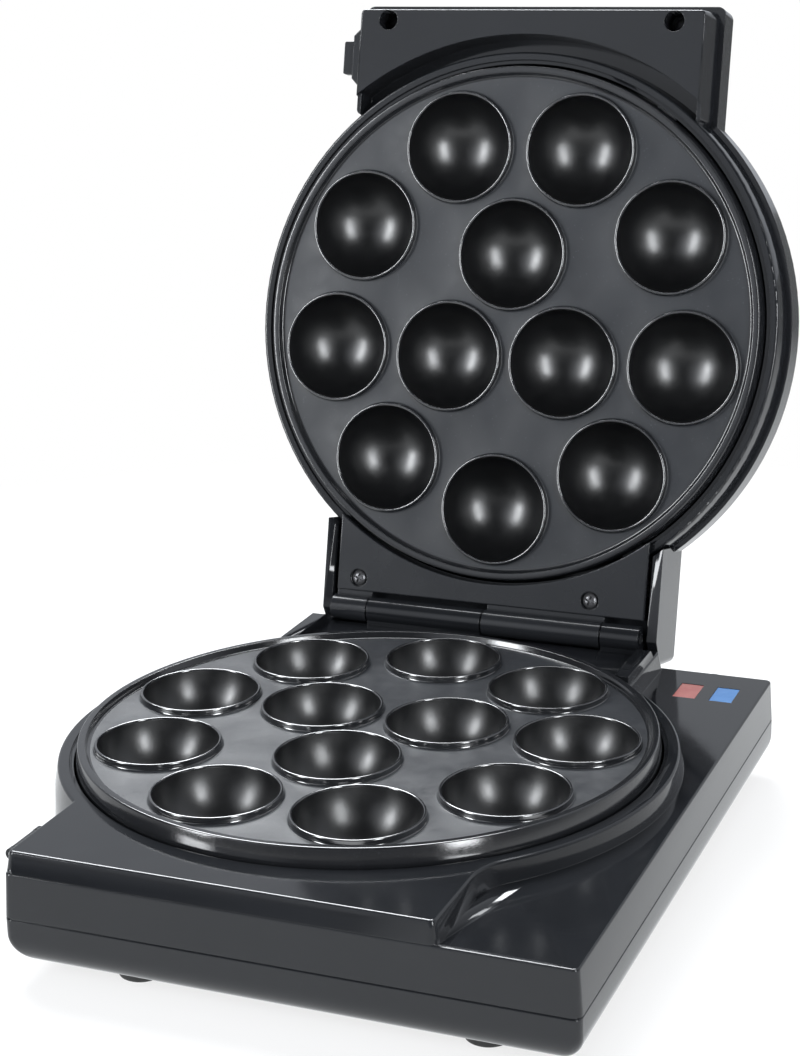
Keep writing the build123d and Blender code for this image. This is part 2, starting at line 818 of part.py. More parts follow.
def lid_outer_cover():
    body = cover_form(0) - cover_form(wall)
    body = body - upright(lid_drum_radius + rim_gap, -past, lid_parting_depth)
    reach = lid_block_half
    body = body - block(-reach, reach, -cover_overlap, cheek_start, -past, lid_parting_depth)
    notch = [(cheek_notch_start, -past), (cheek_notch_start, 0), (cheek_notch_end, lid_end_depth),
             (lid_end + past, lid_end_depth), (lid_end + past, -past)]
    body = body - side_profile(notch, -reach, reach)
    for x, y in cover_screws:
        body = body + upright(cover_boss, cover_plate + seam, lid_depth - wall / 2, x, y)
        body = body - upright(screw_radius + pilot_fit, 0, cover_plate + cover_screw_reach + past, x, y)
    for sx in (-1, 1):
        x, y = sx * front_screw_x, -front_screw_y
        body = body + upright(boss_radius, lid_parting_depth + seam, lid_depth - wall / 2, x, y)
        body = body - upright(screw_radius + pilot_fit, 0,
                              lid_parting_depth + front_screw_reach + pilot_spare, x, y)
    for x, y in pan_ears():
        body = body + upright(boss_radius, pan_bottom, lid_depth - wall / 2, x, y)
        body = body - upright(screw_radius + pilot_fit, 0, pan_bottom + ear_screw_reach + pilot_spare,
                              x, y)
    return body


def lid_hinge_cover():
    """The screwed-on panel at the foot of the lid, with the lid's two hinge knuckles."""
    axis_z = hinge_z - lid_z
    panel = block(-cover_half, cover_half, cover_front, cover_edge, 0, cover_plate)
    panel = panel - upright(cover_arc, -past, cover_plate + past)
    panel = fillet(edges_at(panel, 0), cover_edge_round)
    rim = upright(cover_arc + cover_rim, 0, lid_drum_depth - screw_fit)
    rim = rim - upright(cover_arc, -past, lid_drum_depth)
    rim = rim & block(-cover_half + cover_rim_inset, cover_half - cover_rim_inset, cover_front,
                      cover_edge, cover_face, lid_drum_depth)
    shelf = axis_z + recess_radius
    wall_back = block(-cover_half, cover_half, cover_edge - wall, cover_edge, cover_face,
                      shelf + carrier_thickness)
    shelf_plate = block(-cover_half, cover_half, cover_edge - wall, carrier_back, shelf,
                        shelf + carrier_thickness)
    body = panel + rim + wall_back + shelf_plate
    for x0, x1 in barrel_spans("lid"):
        web = block(x0, x1, hinge_y - pedestal_half, hinge_y + pedestal_half, axis_z,
                    shelf + bite)
        body = body + web + along_x(barrel_radius, x0, x1, hinge_y, axis_z)
        body = body + block(x0, x1, cover_edge - wall, hinge_y, cover_face, shelf)
    body = body - along_x(pin_rod + pin_fit, -barrel_end - past, barrel_end + past, hinge_y, axis_z)
    for x0, x1 in barrel_spans("base"):
        body = body - along_x(recess_radius, x0 - barrel_gap / 2, x1 + barrel_gap / 2, hinge_y, axis_z)
    for x, y in cover_screws:
        body = body - upright(screw_head + cover_screw_well, -past, screw_head_thickness, x, y)
        body = body - upright(screw_radius + screw_fit, -past, cover_plate + past, x, y)
    return body


def lid_front_screws():
    head = lid_parting_depth - wall
    return Compound([
        screw(sx * front_screw_x, -front_screw_y, head, lid_parting_depth + front_screw_reach)
        for sx in (-1, 1)])


def lid_hinge_screws():
    return Compound([screw(x, y, screw_head_thickness, cover_plate + cover_screw_reach)
                              for x, y in cover_screws])


def hinge_pin():
    rod = along_x(pin_rod, -barrel_end + barrel_side, barrel_end - barrel_side, hinge_y, hinge_z)
    return chamfer(rod.edges(), pin_chamfer)


# ---- latch clip, drawn hanging down ----
def latch_clip():
    z = rim_z - latch_axis_drop
    reach = latch_reach()
    bottom = z - reach - clip_bar
    half = clip_window / 2 + clip_arm
    x0 = latch_axis_x - clip_thickness / 2
    frame = block(x0, x0 + clip_thickness, latch_y - half, latch_y + half, bottom, z)
    frame = fillet(frame.edges().filter_by(Axis.X).sort_by(Axis.Z)[:2], clip_round)
    frame = frame - block(x0 - past, x0 + clip_thickness + past, latch_y - clip_window / 2,
                          latch_y + clip_window / 2, z - reach, z + past)
    for y in (latch_y - half, latch_y + half - clip_arm):
        frame = frame + along_y(clip_eye, y, y + clip_arm, latch_axis_x, z)
    bore = along_y(latch_pin + latch_pin_fit, latch_y - half - past, latch_y + half + past,
                   latch_axis_x, z)
    return frame - bore


def latch_reach():
    """From the clip's axis to the inner edge of its bar, so that it just passes over the tongue."""
    return latch_axis_drop + rim_gap + tongue_depth + tongue_thickness + clip_play


def latch_pin_rod():
    half = clip_window / 2 + clip_arm
    return along_y(latch_pin, latch_y - half, latch_y + half, latch_axis_x, rim_z - latch_axis_drop)


# ---- lamps ----
def lamp_lens(colour):
    x, y = lamp_centres[colour]
    w, d = lamp_size
    top = block(x - w / 2, x + w / 2, y - d / 2, y + d / 2, strip_z - wall, strip_z - lamp_sink)
    lip = lamp_flange
    under = block(x - w / 2 - lip, x + w / 2 + lip, y - d / 2 - lip, y + d / 2 + lip,
                  strip_z - wall - lamp_flange_thickness, strip_z - wall)
    return top + under


def board_z():
    return strip_z - wall - lamp_flange_thickness - led_height - board_thickness - led_gap


def board_middle():
    xs = [x for x, y in lamp_centres.values()]
    ys = [y for x, y in lamp_centres.values()]
    return sum(xs) / len(xs), sum(ys) / len(ys)


def board_posts():
    x, y = board_middle()
    dy = board_size[1] / 2 - board_post_inset
    return [(x, y - dy), (x, y + dy)]


def lamp_board():
    x, y = board_middle()
    w, d = board_size
    z = board_z()
    board = block(x - w / 2, x + w / 2, y - d / 2, y + d / 2, z, z + board_thickness)
    for px, py in board_posts():
        board = board - upright(screw_radius + screw_fit, z - past, z + board_thickness + past, px, py)
    return board


def board_screws():
    return Compound([screw(x, y, board_z(), board_z() + board_thickness + board_screw_reach)
                              for x, y in board_posts()])


def lamp_bulb(colour):
    x, y = lamp_centres[colour]
    z = board_z() + board_thickness
    body = upright(led_radius, z, z + led_height, x, y)
    return fillet(edges_at(body, z + led_height), led_radius - led_gap)


# ---- wiring inside the base and the lid ----
def cord_gland():
    """The bush that the mains lead would pass through, in the back wall."""
    z = parting_z + gland_rise
    outside = base_back + base_grow + gland_seat
    inside = base_back - wall - gland_seat
    neck = along_y(gland_neck, inside - gland_nut, outside + gland_seat, gland_x, z)
    flange = along_y(gland_flange, outside, outside + gland_flange_thickness, gland_x, z)
    nut = along_y(gland_nut_radius, inside - gland_nut, inside, gland_x, z)
    bore = along_y(gland_bore, inside - gland_nut - past, outside + gland_flange_thickness + past,
                   gland_x, z)
    return neck + flange + nut - bore


def terminal_block():
    x, y = block_place
    w, d, h = block_size
    body = block(x - w / 2, x + w / 2, y - d / 2, y + d / 2, floor_top, floor_top + h)
    body = fillet(body.edges().filter_by(Axis.Z), block_round)
    pitch = w / block_poles
    for k in range(block_poles):
        px = x - w / 2 + pitch * (k + 0.5)
        body = body - upright(pole_well, floor_top + h - pole_well_depth, floor_top + h + past, px, y)
        body = body - along_y(pole_bore, y - d, y + d, px, floor_top + h / 2)
    return body


def terminal_screws():
    x, y = block_place
    w, d, h = block_size
    pitch = w / block_poles
    z = floor_top + h - pole_screw_sink
    return Compound([upright(pole_screw, z - pole_screw_thickness, z,
                                      x - w / 2 + pitch * (k + 0.5), y)
                              for k in range(block_poles)])


def thermostat():
    z = rim_z - pan_bottom
    body = upright(stat_radius, z - stat_flange[2] - stat_height, z - stat_flange[2])
    flange = block(-stat_flange[0] / 2, stat_flange[0] / 2, -stat_flange[1] / 2, stat_flange[1] / 2,
                   z - stat_flange[2], z)
    blades = []
    low = z - stat_flange[2] - stat_height
    for side in (-1, 1):
        x = side * stat_blade_gap / 2
        blades.append(block(x - stat_blade[1] / 2, x + stat_blade[1] / 2, -stat_blade[0] / 2,
                            stat_blade[0] / 2, low - stat_blade[2], low + bite))
    return joined([body, flange] + blades)


def thermal_fuse(x, y, z):
    """A small axial fuse lying along X, with its top against the pan."""
    barrel = along_x(fuse_radius, x - fuse_length / 2, x + fuse_length / 2, y, z - fuse_radius)
    leads = along_x(fuse_lead, x - fuse_length, x + fuse_length, y, z - fuse_radius)
    return barrel + leads


def wire(points, bend=wire_bend):
    radii = [bend] * (len(points) - 2)
    path = FilletPolyline(*points, radius=radii)
    section = Plane(origin=path @ 0, z_dir=path % 0) * Circle(wire_radius)
    return sweep(section, path=path)


def base_wires():
    """Three insulated wires between the terminal block, the thermostat and the element's pins."""
    pin_z = rim_z - pan_bottom - element_tail - pin_length
    pole_z = floor_top + block_size[2] / 2
    low = floor_top + wire_radius + wire_lift
    bx, by = block_place
    pitch = block_size[0] / block_poles
    near = by - block_size[1] / 2
    far = by + block_size[1] / 2
    stat_low = rim_z - pan_bottom - stat_flange[2] - stat_height - stat_blade[2]
    half = stat_blade_gap / 2
    right = Vector(*polar(element_drop, element_ends[1]), 0)
    left = Vector(*polar(element_drop, element_ends[0]), 0)
    side, out, down = live_run
    live = wire([(bx - pitch, near, pole_z), (bx - pitch, near - out, pole_z),
                 (bx - pitch - side, near - down, low), (*live_corner, low), (half, 0, low),
                 (half, 0, stat_low)])
    heat = wire([(-half, 0, stat_low), (-half, 0, low), (*heat_corner, low),
                 (left.X, left.Y, low), (left.X, left.Y, pin_z)])
    side, out, down = neutral_run
    neutral = wire([(bx, far, pole_z), (bx, far + out, pole_z), (bx - side, far + down, low),
                    (right.X + neutral_corner[0], right.Y + neutral_corner[1], low),
                    (right.X, right.Y, low), (right.X, right.Y, pin_z)])
    return {"live_wire": live, "heater_wire": heat, "neutral_wire": neutral}


def plate_pieces():
    """The pieces that both plates have, in the frame of a plate that faces up."""
    return {"plate": plate(), "heating_element": heating_element(), "heater_clamps": heater_clamps(),
            "clamp_screws": clamp_screws(), "reflector_pan": reflector_pan(),
            "plate_screws": plate_screws(), "pan_ear_screws": ear_screws(),
            "thermal_fuse": thermal_fuse(*fuse_place, -pan_bottom)}


def base_pieces():
    return {"base_upper_housing": base_upper_housing(), "base_lower_shell": base_lower_shell(),
            "rubber_feet": rubber_feet(), "housing_screws": housing_screw_set(),
            "hinge_pin": hinge_pin(), "latch_clip": latch_clip(), "latch_pin": latch_pin_rod(),
            "lamp_board": lamp_board(), "lamp_board_screws": board_screws(),
            "cord_gland": cord_gland(), "terminal_block": terminal_block(),
            "terminal_screws": terminal_screws(), "thermostat": thermostat(), **base_wires()}


def lid_pieces():
    """The lid's own pieces, drawn closed."""
    return {"lid_inner_housing": lid_inner_housing(), "lid_outer_cover": lid_outer_cover(),
            "lid_hinge_cover": lid_hinge_cover(), "lid_front_screws": lid_front_screws(),
            "lid_hinge_screws": lid_hinge_screws()}


def build_all():
    shapes = base_pieces()
    for colour in lamp_centres:
        shapes[colour + "_lamp_lens"] = lamp_lens(colour)
        shapes[colour + "_lamp_bulb"] = lamp_bulb(colour)
    for name, shape in lid_pieces().items():
        shapes[name] = on_lid(shape)
    for name, shape in plate_pieces().items():
        shapes["lower_" + name] = on_base(shape)
        shapes["upper_" + name] = on_lid(flipped(shape))
    save_all(shapes)


build_all()
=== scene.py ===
import math

import bmesh
import bpy
from mathutils import Matrix, Vector


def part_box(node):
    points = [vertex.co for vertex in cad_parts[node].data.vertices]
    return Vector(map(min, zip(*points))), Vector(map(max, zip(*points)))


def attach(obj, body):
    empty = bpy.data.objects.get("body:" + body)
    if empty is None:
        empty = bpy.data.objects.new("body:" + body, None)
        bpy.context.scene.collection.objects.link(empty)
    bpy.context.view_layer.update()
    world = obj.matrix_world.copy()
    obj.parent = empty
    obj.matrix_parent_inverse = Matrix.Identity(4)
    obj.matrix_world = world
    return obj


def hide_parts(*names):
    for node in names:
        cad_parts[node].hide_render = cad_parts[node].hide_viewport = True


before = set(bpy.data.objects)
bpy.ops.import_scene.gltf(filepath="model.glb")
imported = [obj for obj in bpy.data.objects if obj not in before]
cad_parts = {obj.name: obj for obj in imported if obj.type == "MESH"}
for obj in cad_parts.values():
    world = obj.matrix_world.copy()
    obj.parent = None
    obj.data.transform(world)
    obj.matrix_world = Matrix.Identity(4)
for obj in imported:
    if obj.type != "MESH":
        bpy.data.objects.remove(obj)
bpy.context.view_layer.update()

# ---------------------------------------------------------------------------------------------
# Lower shell of the base: the tray under the machine, with a generous round where its walls turn
# under. Injection-moulded glossy black ABS, screwed up into the upper housing through four wells.
MM = 0.001


def new_finish(name):
    """A bare node material: its tree, its shader, and the piece's own coordinates in metres."""
    material = bpy.data.materials.new(name)
    material.use_nodes = True
    tree = material.node_tree
    shader = tree.nodes["Principled BSDF"]
    where = tree.nodes.new("ShaderNodeTexCoord").outputs["Object"]
    return material, tree, shader, where


def mottle(tree, where, size_mm, detail=3.0, stretch=(1, 1, 1)):
    """A soft random pattern whose patches are about size_mm across, between 0 and 1."""
    place = tree.nodes.new("ShaderNodeMapping")
    place.inputs["Scale"].default_value = stretch
    noise = tree.nodes.new("ShaderNodeTexNoise")
    noise.inputs["Scale"].default_value = 1 / (size_mm * MM)
    noise.inputs["Detail"].default_value = detail
    tree.links.new(where, place.inputs["Vector"])
    tree.links.new(place.outputs["Vector"], noise.inputs["Vector"])
    return noise.outputs["Fac"]


def spread(tree, value, low, high, start=0.3, end=0.7):
    """Carries a 0-to-1 pattern over to the range from low to high."""
    node = tree.nodes.new("ShaderNodeMapRange")
    node.inputs["From Min"].default_value = start
    node.inputs["From Max"].default_value = end
    node.inputs["To Min"].default_value = low
    node.inputs["To Max"].default_value = high
    tree.links.new(value, node.inputs["Value"])
    return node.outputs["Result"]


def blend_colour(tree, factor, first, second):
    node = tree.nodes.new("ShaderNodeMix")
    node.data_type = "RGBA"
    node.inputs["A"].default_value = (*first, 1)
    node.inputs["B"].default_value = (*second, 1)
    tree.links.new(factor, node.inputs["Factor"])
    return node.outputs["Result"]


def relief(tree, shader, height, depth_mm, edge_mm=0.0):
    """Raises the surface by up to depth_mm where height is 1, and rounds sharp edges by edge_mm."""
    bump = tree.nodes.new("ShaderNodeBump")
    bump.inputs["Distance"].default_value = depth_mm * MM
    tree.links.new(height, bump.inputs["Height"])
    if edge_mm:
        round_off = tree.nodes.new("ShaderNodeBevel")
        round_off.samples = 4
        round_off.inputs["Radius"].default_value = edge_mm * MM
        tree.links.new(round_off.outputs["Normal"], bump.inputs["Normal"])
    tree.links.new(bump.outputs["Normal"], shader.inputs["Normal"])


def finish(name, dark, pale, tint_mm, smooth, rough, rough_mm, grain_mm, grain_depth_mm,
           metal=0.0, ior=1.5, stretch=(1, 1, 1), edge_mm=0.0):
    """A finish with a slight play of colour, gloss that varies, and a fine grain."""
    material, tree, shader, where = new_finish(name)
    shader.inputs["Metallic"].default_value = metal
    shader.inputs["IOR"].default_value = ior
    tint = blend_colour(tree, mottle(tree, where, tint_mm, stretch=stretch), dark, pale)
    tree.links.new(tint, shader.inputs["Base Color"])
    gloss = spread(tree, mottle(tree, where, rough_mm, 4.0, stretch), smooth, rough)
    tree.links.new(gloss, shader.inputs["Roughness"])
    relief(tree, shader, mottle(tree, where, grain_mm, 2.0, stretch), grain_depth_mm, edge_mm)
    return material


def moulding(node, name):
    """The CAD solid's mesh as one closed skin, with whole flats, smooth rounds and crisp creases."""
    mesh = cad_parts[node].data.copy()
    mesh.name = name
    work = bmesh.new()
    work.from_mesh(mesh)
    bmesh.ops.remove_doubles(work, verts=work.verts, dist=0.002 * MM)
    bmesh.ops.dissolve_limit(work, angle_limit=math.radians(0.4), verts=work.verts,
                             edges=work.edges, use_dissolve_boundaries=False)
    work.to_mesh(mesh)
    work.free()
    mesh.shade_smooth()
    mesh.set_sharp_from_angle(angle=math.radians(28))
    piece = bpy.data.objects.new(name, mesh)
    bpy.context.scene.collection.objects.link(piece)
    even = piece.modifiers.new("even", "WEIGHTED_NORMAL")
    even.keep_sharp = True
    return bake(piece)


def ease_seam(piece, height_mm, width_mm):
    """Breaks the sharp edges that lie at this height, as where two mouldings meet in a fine groove."""
    level = height_mm * MM
    work = bmesh.new()
    work.from_mesh(piece.data)
    seam = [edge for edge in work.edges
            if all(abs(vert.co.z - level) < 0.01 * MM for vert in edge.verts)
            and len(edge.link_faces) == 2 and edge.calc_face_angle() > math.radians(60)]
    bmesh.ops.bevel(work, geom=seam, offset=width_mm * MM, segments=1, affect="EDGES",
                    clamp_overlap=True)
    work.to_mesh(piece.data)
    work.free()
    piece.data.shade_smooth()
    piece.data.set_sharp_from_angle(angle=math.radians(28))


def bake(piece):
    """Turns a piece with modifiers into a plain mesh at the origin."""
    graph = bpy.context.evaluated_depsgraph_get()
    done = bpy.data.meshes.new_from_object(piece.evaluated_get(graph), depsgraph=graph)
    piece.modifiers.clear()
    piece.data = done
    return piece


def seat(piece, body, slot, material, *nodes):
    """Gives a finished piece its material, its body and the CAD nodes that it stands for."""
    piece.data.materials.clear()
    piece.data.materials.append(material)
    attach(piece, body)
    if nodes:
        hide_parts(*nodes)
    return piece


gloss_black = finish("gloss_black_abs", (0.0072, 0.0078, 0.009), (0.010, 0.0108, 0.0124), 40,
                     0.06, 0.12, 25, 2.2, 0.005, edge_mm=0.35)

SEAM_HEIGHT = 20.5
SEAM_WIDTH = 0.35
lower_shell = moulding("base_lower_shell", "base_lower_shell_moulding")
ease_seam(lower_shell, SEAM_HEIGHT, SEAM_WIDTH)
seat(lower_shell, "base", "gloss_black", gloss_black, "base_lower_shell")

# ---------------------------------------------------------------------------------------------
# Four rubber feet: black rubber pads with a rounded tread and a shallow sucker hollow, each pulled
# through a hole in the tray by its stem and held by the stem's head.
FOOT_PLACES = [(-34, -100), (78, -100), (-34, 100), (78, 100)]
FOOT_OUTLINE = [(0, 0.5), (4.2, 0.5), (4.9, 0.1), (5.4, 0), (6.4, 0.05), (7.1, 0.5), (7.5, 1.3),
                (7.45, 3.2), (7.1, 4.45), (3.6, 4.45), (3.6, 7.0), (4.6, 7.0), (4.5, 7.9),
                (3.9, 8.45), (0, 8.5)]


def plate_middle():
    """Where the upright axis of the lower cooking plate stands in the frame of the whole object."""
    low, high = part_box("lower_plate")
    return Vector(((low[0] + high[0]) / 2, (low[1] + high[1]) / 2, 0))


MIDDLE = Matrix.Translation(plate_middle())


def outline_object(name, points):
    """A turned piece's outline as a chain of points: radius along X and height along Z."""
    mesh = bpy.data.meshes.new(name)
    mesh.from_pydata([(r * MM, 0, z * MM) for r, z in points],
                     [(k, k + 1) for k in range(len(points) - 1)], [])
    piece = bpy.data.objects.new(name, mesh)
    bpy.context.scene.collection.objects.link(piece)
    return piece


def new_tree(name, inputs):
    """A Geometry Nodes tree with named inputs: (name, socket kind, value)."""
    tree = bpy.data.node_groups.new(name, "GeometryNodeTree")
    tree.interface.new_socket("Geometry", in_out="INPUT", socket_type="NodeSocketGeometry")
    for label, kind, value in inputs:
        socket = tree.interface.new_socket(label, in_out="INPUT", socket_type="NodeSocket" + kind)
        if value is not None:
            socket.default_value = value
    tree.interface.new_socket("Geometry", in_out="OUTPUT", socket_type="NodeSocketGeometry")
    return tree, tree.nodes.new("NodeGroupInput").outputs, tree.nodes.new("NodeGroupOutput").inputs


def add_node(tree, kind, links=None, **settings):
    """A node with its settings, and its inputs linked or set by name or number."""
    node = tree.nodes.new(kind)
    for key, value in settings.items():
        setattr(node, key, value)
    for key, value in (links or {}).items():
        if isinstance(value, bpy.types.NodeSocket):
            tree.links.new(value, node.inputs[key])
        else:
            node.inputs[key].default_value = value
    return node


def calculate(tree, operation, first, second=0.0):
    return add_node(tree, "ShaderNodeMath", {0: first, 1: second}, operation=operation).outputs[0]


def turning(tree, outline, steps):
    """Turns an outline mesh about Z in the given number of steps, with its seam and poles closed."""
    count = add_node(tree, "GeometryNodeAttributeDomainSize", {"Geometry": outline},
                     component="MESH").outputs["Point Count"]
    around = calculate(tree, "ADD", steps, 1.0)
    grid = add_node(tree, "GeometryNodeMeshGrid", {"Vertices X": around, "Vertices Y": count})
    index = add_node(tree, "GeometryNodeInputIndex").outputs[0]
    along = calculate(tree, "MODULO", index, count)
    lap = calculate(tree, "FLOOR", calculate(tree, "DIVIDE", index, count))
    angle = calculate(tree, "MULTIPLY", calculate(tree, "DIVIDE", lap, steps), math.tau)
    position = add_node(tree, "GeometryNodeInputPosition").outputs[0]
    source = add_node(tree, "GeometryNodeSampleIndex",
                      {"Geometry": outline, "Value": position, "Index": along},
                      data_type="FLOAT_VECTOR", domain="POINT")
    split = add_node(tree, "ShaderNodeSeparateXYZ", {0: source.outputs["Value"]})
    x = calculate(tree, "MULTIPLY", split.outputs["X"], calculate(tree, "COSINE", angle))
    y = calculate(tree, "MULTIPLY", split.outputs["X"], calculate(tree, "SINE", angle))
    place = add_node(tree, "ShaderNodeCombineXYZ", {"X": x, "Y": y, "Z": split.outputs["Z"]})
    turned = add_node(tree, "GeometryNodeSetPosition",
                      {"Geometry": grid.outputs["Mesh"], "Position": place.outputs[0]})
    welded = add_node(tree, "GeometryNodeMergeByDistance",
                      {"Geometry": turned.outputs[0], "Distance": 0.002 * MM})
    return welded.outputs[0]


def outline_tree(name, steps):
    """Turns the piece's outline and sets a copy of it at each of the piece's places."""
    tree, given, result = new_tree(name, [("Steps", "Int", steps), ("Places", "Object", None),
                                          ("Material", "Material", None)])
    turned = turning(tree, given["Geometry"], given["Steps"])
    places = add_node(tree, "GeometryNodeObjectInfo", {"Object": given["Places"]})
    rings = add_node(tree, "GeometryNodeInstanceOnPoints",
                     {"Points": places.outputs["Geometry"], "Instance": turned})
    whole = add_node(tree, "GeometryNodeRealizeInstances", {"Geometry": rings.outputs[0]})
    shown = add_node(tree, "GeometryNodeSetMaterial",
                     {"Geometry": whole.outputs[0], "Material": given["Material"]})
    tree.links.new(shown.outputs[0], result["Geometry"])
    return tree


def place_points(name, places):
    """Bare points, in millimetres, where a repeated piece is set."""
    mesh = bpy.data.meshes.new(name)
    mesh.from_pydata([tuple(v * MM for v in p) for p in places], [], [])
    points = bpy.data.objects.new(name, mesh)
    bpy.context.scene.collection.objects.link(points)
    return points


def run_tree(piece, tree, settings):
    """Runs a tree on a piece with these inputs, and leaves a plain mesh with outward faces."""
    modifier = piece.modifiers.new(tree.name, "NODES")
    modifier.node_group = tree
    for item in tree.interface.items_tree:
        if item.in_out == "INPUT" and item.name in settings:
            modifier[item.identifier] = settings[item.name]
    bpy.context.view_layer.update()
    bake(piece)
    clean_up(piece.data)
    return piece


def clean_up(mesh):
    """Welds the mesh, turns its faces outwards and shades it smooth with crisp edges."""
    work = bmesh.new()
    work.from_mesh(mesh)
    bmesh.ops.remove_doubles(work, verts=work.verts, dist=0.002 * MM)
    bmesh.ops.recalc_face_normals(work, faces=work.faces)
    work.to_mesh(mesh)
    work.free()
    mesh.shade_smooth()
    mesh.set_sharp_from_angle(angle=math.radians(35))


def turned_pieces(name, outline, places, material, steps=48):
    """A turned shape from its outline, repeated at every place."""
    piece = outline_object(name, outline)
    points = place_points(name + "_places", [(*p, 0)[:3] for p in places])
    run_tree(piece, outline_tree(name + "_tree", steps),
             {"Steps": steps, "Places": points, "Material": material})
    bpy.data.objects.remove(points)
    return piece


rubber = finish("foot_rubber", (0.011, 0.011, 0.011), (0.022, 0.022, 0.021), 6, 0.55, 0.8, 3,
                0.5, 0.02)
feet = turned_pieces("rubber_foot_pads", FOOT_OUTLINE, FOOT_PLACES, rubber)
feet.data.transform(MIDDLE)
seat(feet, "base", "rubber", rubber, "rubber_feet")

# ---------------------------------------------------------------------------------------------
# Upper housing of the base: the drafted walls, the raised top with the drum round the plate, the
# lower control strip, the two ears and the middle hinge knuckles. One glossy black ABS moulding.
upper_housing = moulding("base_upper_housing", "base_upper_housing_moulding")
ease_seam(upper_housing, SEAM_HEIGHT, SEAM_WIDTH)
seat(upper_housing, "base", "gloss_black", gloss_black, "base_upper_housing")

# ---------------------------------------------------------------------------------------------
# Crosshead screws: domed steel heads with a crossed recess. Four hold the two base shells together
# from below; the others stay inside and hold the pan, the clamps and the lamp board.
steel = finish("screw_steel", (0.34, 0.34, 0.35), (0.5, 0.5, 0.5), 2, 0.24, 0.42, 1.2, 0.35, 0.006,
               metal=1.0)


def screw_tree():
    """A domed head with a crossed recess and a shank, pointing up, set at every place."""
    tree, given, result = new_tree("crosshead_screw", [
        ("Head radius", "Float", 3.0), ("Head height", "Float", 1.8), ("Shank radius", "Float", 1.5),
        ("Shank length", "Float", 10.0), ("Slot width", "Float", 0.8), ("Slot length", "Float", 3.4),
        ("Slot depth", "Float", 0.9), ("Turn", "Float", 0.0), ("Material", "Material", None)])
    dome = add_node(tree, "GeometryNodeMeshUVSphere",
                    {"Segments": 40, "Rings": 20, "Radius": given["Head radius"]})
    squeeze = add_node(tree, "ShaderNodeCombineXYZ", {
        "X": 1.0, "Y": 1.0,
        "Z": calculate(tree, "DIVIDE", calculate(tree, "MULTIPLY", given["Head height"], 1.15),
                       given["Head radius"])})
    domed = add_node(tree, "GeometryNodeTransform",
                     {"Geometry": dome.outputs["Mesh"], "Scale": squeeze.outputs[0]})
    keep = add_node(tree, "GeometryNodeMeshCylinder", {
        "Vertices": 40, "Radius": calculate(tree, "MULTIPLY", given["Head radius"], 0.97),
        "Depth": given["Head height"]})
    drop = add_node(tree, "ShaderNodeCombineXYZ",
                    {"Z": calculate(tree, "MULTIPLY", given["Head height"], -0.5)})
    kept = add_node(tree, "GeometryNodeTransform",
                    {"Geometry": keep.outputs["Mesh"], "Translation": drop.outputs[0]})
    head = add_node(tree, "GeometryNodeMeshBoolean",
                    {"Mesh 2": domed.outputs[0]}, operation="INTERSECT", solver="EXACT")
    tree.links.new(kept.outputs[0], head.inputs["Mesh 2"])
    slots = []
    for long, wide in (("Slot length", "Slot width"), ("Slot width", "Slot length")):
        size = add_node(tree, "ShaderNodeCombineXYZ", {
            "X": given[long], "Y": given[wide],
            "Z": calculate(tree, "MULTIPLY", given["Slot depth"], 2.0)})
        bar = add_node(tree, "GeometryNodeMeshCube", {"Size": size.outputs[0]})
        low = add_node(tree, "ShaderNodeCombineXYZ",
                       {"Z": calculate(tree, "MULTIPLY", given["Head height"], -1.0)})
        slots.append(add_node(tree, "GeometryNodeTransform", {
            "Geometry": bar.outputs["Mesh"], "Translation": low.outputs[0]}).outputs[0])
    cut = add_node(tree, "GeometryNodeMeshBoolean", {"Mesh 1": head.outputs["Mesh"]},
                   operation="DIFFERENCE", solver="EXACT")
    for bar in slots:
        tree.links.new(bar, cut.inputs["Mesh 2"])
    shank = add_node(tree, "GeometryNodeMeshCylinder", {
        "Vertices": 24, "Radius": given["Shank radius"], "Depth": given["Shank length"]})
    lift = add_node(tree, "ShaderNodeCombineXYZ",
                    {"Z": calculate(tree, "MULTIPLY", given["Shank length"], 0.5)})
    stood = add_node(tree, "GeometryNodeTransform",
                     {"Geometry": shank.outputs["Mesh"], "Translation": lift.outputs[0]})
    one = add_node(tree, "GeometryNodeJoinGeometry")
    tree.links.new(cut.outputs["Mesh"], one.inputs[0])
    tree.links.new(stood.outputs[0], one.inputs[0])
    turn = add_node(tree, "ShaderNodeCombineXYZ", {"Z": given["Turn"]})
    many = add_node(tree, "GeometryNodeInstanceOnPoints", {
        "Points": given["Geometry"], "Instance": one.outputs[0], "Rotation": turn.outputs[0]})
    whole = add_node(tree, "GeometryNodeRealizeInstances", {"Geometry": many.outputs[0]})
    shown = add_node(tree, "GeometryNodeSetMaterial",
                     {"Geometry": whole.outputs[0], "Material": given["Material"]})
    tree.links.new(shown.outputs[0], result["Geometry"])
    return tree


SCREW = screw_tree()


def screws(name, places, shank_mm, material, turn_degrees=20, head_mm=3.0, place=None):
    """Screws whose heads hang below the places given in millimetres, moved as place says."""
    piece = place_points(name, places)
    run_tree(piece, SCREW, {
        "Head radius": head_mm * MM, "Head height": 1.78 * MM, "Shank radius": 1.45 * MM,
        "Shank length": shank_mm * MM, "Slot width": 0.8 * MM, "Slot length": 3.5 * MM,
        "Slot depth": 1.0 * MM, "Turn": math.radians(turn_degrees), "Material": material})
    if place:
        piece.data.transform(place)
    return piece


HOUSING_SCREW_PLACES = [(-54, -107, 9.3), (98, -105, 9.3), (98, 76, 9.3), (-54, 107, 9.3)]
base_screws = screws("base_shell_screws", HOUSING_SCREW_PLACES, 18.6, steel, place=MIDDLE)
seat(base_screws, "base", "steel", steel, "housing_screws")

